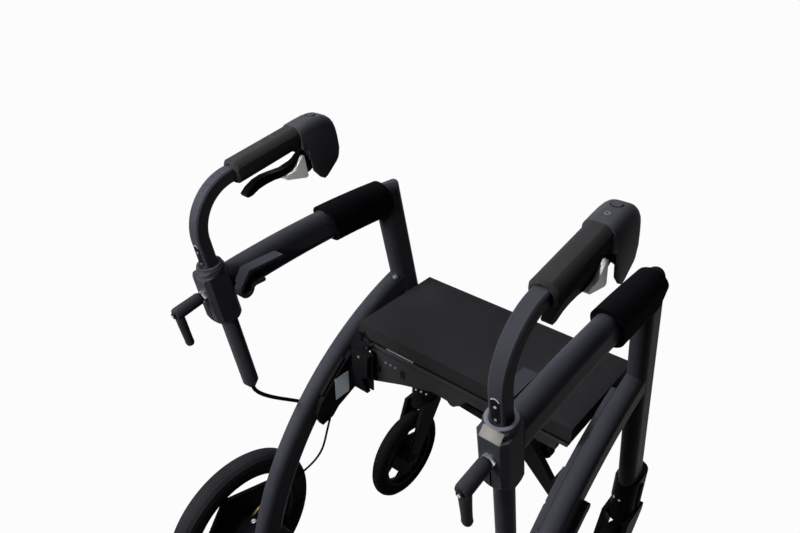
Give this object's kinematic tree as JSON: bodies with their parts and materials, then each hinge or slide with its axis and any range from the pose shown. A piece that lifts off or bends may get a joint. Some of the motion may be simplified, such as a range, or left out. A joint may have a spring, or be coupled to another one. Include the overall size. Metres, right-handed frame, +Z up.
{
  "type": "rollator transport chair",
  "caption": "Folding wheeled walker that doubles as a transport chair: tubular side frames, cross brace, tip-up seat, turning height-adjustable push handles, rear wheels and swivel casters.",
  "frame": {"origin": "on the ground, under the middle of the chair's width and length", "axes": "+X to the chair's right, +Y forward toward the swivel casters, +Z up"},
  "size_m": [0.69, 0.6668, 0.9594],
  "materials": {
    "frame_coat": "satin powder coat, charcoal blue",
    "foam": "matte foam",
    "zinc": "bright zinc",
    "black_plastic": "fine matte",
    "lever_gloss": "gloss black",
    "grey_metal": "brushed grey",
    "brace_steel": "black coat",
    "hub_metal": "black coat",
    "cable": "matte black jacket",
    "tyre": "dark grey rubber",
    "seat_vinyl": "matte black vinyl over foam"
  },
  "bodies": {
    "left_frame": {"left_rail": "frame_coat", "left_leg": "frame_coat", "left_sweep_tube": "frame_coat", "left_sleeve": "foam", "left_clamp": "frame_coat", "left_stud": "zinc", "left_hook": "black_plastic", "left_side_plate": "black_plastic", "left_arm_bracket": "brace_steel", "left_cable_duct": "black_plastic", "left_rear_hub": "hub_metal", "left_caster_head": "black_plastic", "left_brake_cable": "cable", "left_box": "black_plastic", "left_hub_lead": "cable", "seat_hinge": "brace_steel"},
    "cross_arm_a": {"cross_arm_a": "brace_steel"},
    "cross_arm_b": {"cross_arm_b": "brace_steel"},
    "right_frame": {"right_rail": "frame_coat", "right_leg": "frame_coat", "right_sweep_tube": "frame_coat", "right_sleeve": "foam", "right_clamp": "frame_coat", "right_stud": "zinc", "right_hook": "black_plastic", "right_side_plate": "black_plastic", "right_arm_bracket": "brace_steel", "right_cable_duct": "black_plastic", "right_rear_hub": "hub_metal", "right_caster_head": "black_plastic", "right_brake_cable": "cable"},
    "seat": {"seat_board": "black_plastic", "seat_pad": "seat_vinyl"},
    "left_post": {"left_post": "frame_coat"},
    "left_handle": {"left_handle_tube": "frame_coat", "left_grip": "foam", "left_brake_housing": "black_plastic"},
    "left_lever": {"left_brake_lever": "lever_gloss", "left_lever_saddle": "grey_metal"},
    "left_button": {"left_button": "black_plastic"},
    "left_clamp_lever": {"left_clamp_lever": "black_plastic"},
    "left_rear_wheel": {"left_rear_rim": "black_plastic", "left_rear_tyre": "tyre"},
    "left_caster_fork": {"left_fork": "black_plastic"},
    "left_caster_wheel": {"left_caster_rim": "black_plastic", "left_caster_tyre": "tyre"},
    "right_post": {"right_post": "frame_coat"},
    "right_handle": {"right_handle_tube": "frame_coat", "right_grip": "foam", "right_brake_housing": "black_plastic"},
    "right_lever": {"right_brake_lever": "lever_gloss", "right_lever_saddle": "grey_metal"},
    "right_button": {"right_button": "black_plastic"},
    "right_clamp_lever": {"right_clamp_lever": "black_plastic"},
    "right_rear_wheel": {"right_rear_rim": "black_plastic", "right_rear_tyre": "tyre"},
    "right_caster_fork": {"right_fork": "black_plastic"},
    "right_caster_wheel": {"right_caster_rim": "black_plastic", "right_caster_tyre": "tyre"}
  },
  "joints": [
    {"name": "fold", "type": "hinge", "parent": "left_frame", "child": "cross_arm_a", "pos_m": [-0.165, 0.05935, 0.494], "axis": [0, -1, 0], "range_deg": [0, 66]},
    {"name": "cross_pivot", "type": "hinge", "parent": "cross_arm_a", "child": "cross_arm_b", "pos_m": [0, 0.06535, 0.50699], "axis": [0, -1, 0], "range_deg": [-132, 0]},
    {"name": "right_side_pivot", "type": "hinge", "parent": "cross_arm_b", "child": "right_frame", "pos_m": [0.165, 0.07135, 0.494], "axis": [0, -1, 0], "range_deg": [0, 66]},
    {"name": "seat_tip", "type": "hinge", "parent": "left_frame", "child": "seat", "pos_m": [-0.202, 0.15535, 0.552], "axis": [0, -1, 0], "range_deg": [0, 79.2]},
    {"name": "left_post_slide", "type": "slide", "parent": "left_frame", "child": "left_post", "axis": [0, -0.1754, 0.9845], "range_m": [-0.035, 0.1], "deforming": ["left_brake_cable"]},
    {"name": "left_handle_turn", "type": "hinge", "parent": "left_post", "child": "left_handle", "pos_m": [-0.24, -0.20465, 0.786], "axis": [0, -0.1754, 0.9845], "range_deg": [0, 180]},
    {"name": "left_brake_squeeze", "type": "hinge", "parent": "left_handle", "child": "left_lever", "pos_m": [-0.24, -0.00139, 0.8994], "axis": [-1, 0, 0], "range_deg": [-8, 5], "stiffness_Nm_per_rad": 4},
    {"name": "left_button_press", "type": "slide", "parent": "left_handle", "child": "left_button", "axis": [0, 0.1754, -0.9845], "range_m": [0, 0.002], "stiffness_N_per_m": 800},
    {"name": "left_clamp_turn", "type": "hinge", "parent": "left_frame", "child": "left_clamp_lever", "pos_m": [-0.24, -0.23286, 0.7505], "axis": [0, -0.9845, -0.1754], "range_deg": [0, 120]},
    {"name": "left_rear_roll", "type": "hinge", "parent": "left_frame", "child": "left_rear_wheel", "pos_m": [-0.324, -0.17235, 0.161], "axis": [1, 0, 0], "continuous": true},
    {"name": "left_caster_swivel", "type": "hinge", "parent": "left_frame", "child": "left_caster_fork", "pos_m": [-0.24, 0.28835, 0.236], "axis": [0, 0, 1], "continuous": true},
    {"name": "left_caster_roll", "type": "hinge", "parent": "left_caster_fork", "child": "left_caster_wheel", "pos_m": [-0.24, 0.22335, 0.105], "axis": [1, 0, 0], "continuous": true},
    {"name": "right_post_slide", "type": "slide", "parent": "right_frame", "child": "right_post", "axis": [0, -0.1754, 0.9845], "range_m": [-0.035, 0.1], "deforming": ["right_brake_cable"]},
    {"name": "right_handle_turn", "type": "hinge", "parent": "right_post", "child": "right_handle", "pos_m": [0.24, -0.20465, 0.786], "axis": [0, 0.1754, -0.9845], "range_deg": [0, 180]},
    {"name": "right_brake_squeeze", "type": "hinge", "parent": "right_handle", "child": "right_lever", "pos_m": [0.24, -0.00139, 0.8994], "axis": [-1, 0, 0], "range_deg": [-8, 5], "stiffness_Nm_per_rad": 4},
    {"name": "right_button_press", "type": "slide", "parent": "right_handle", "child": "right_button", "axis": [0, 0.1754, -0.9845], "range_m": [0, 0.002], "stiffness_N_per_m": 800},
    {"name": "right_clamp_turn", "type": "hinge", "parent": "right_frame", "child": "right_clamp_lever", "pos_m": [0.24, -0.23286, 0.7505], "axis": [0, -0.9845, -0.1754], "range_deg": [0, 120]},
    {"name": "right_rear_roll", "type": "hinge", "parent": "right_frame", "child": "right_rear_wheel", "pos_m": [0.324, -0.17235, 0.161], "axis": [1, 0, 0], "continuous": true},
    {"name": "right_caster_swivel", "type": "hinge", "parent": "right_frame", "child": "right_caster_fork", "pos_m": [0.24, 0.28835, 0.236], "axis": [0, 0, 1], "continuous": true},
    {"name": "right_caster_roll", "type": "hinge", "parent": "right_caster_fork", "child": "right_caster_wheel", "pos_m": [0.24, 0.22335, 0.105], "axis": [1, 0, 0], "continuous": true}
  ],
  "couplings": [
    {"joint": "cross_pivot", "follows": "fold", "ratio": -2},
    {"joint": "right_side_pivot", "follows": "fold", "ratio": 1},
    {"joint": "seat_tip", "follows": "fold", "ratio": 1.2}
  ]
}
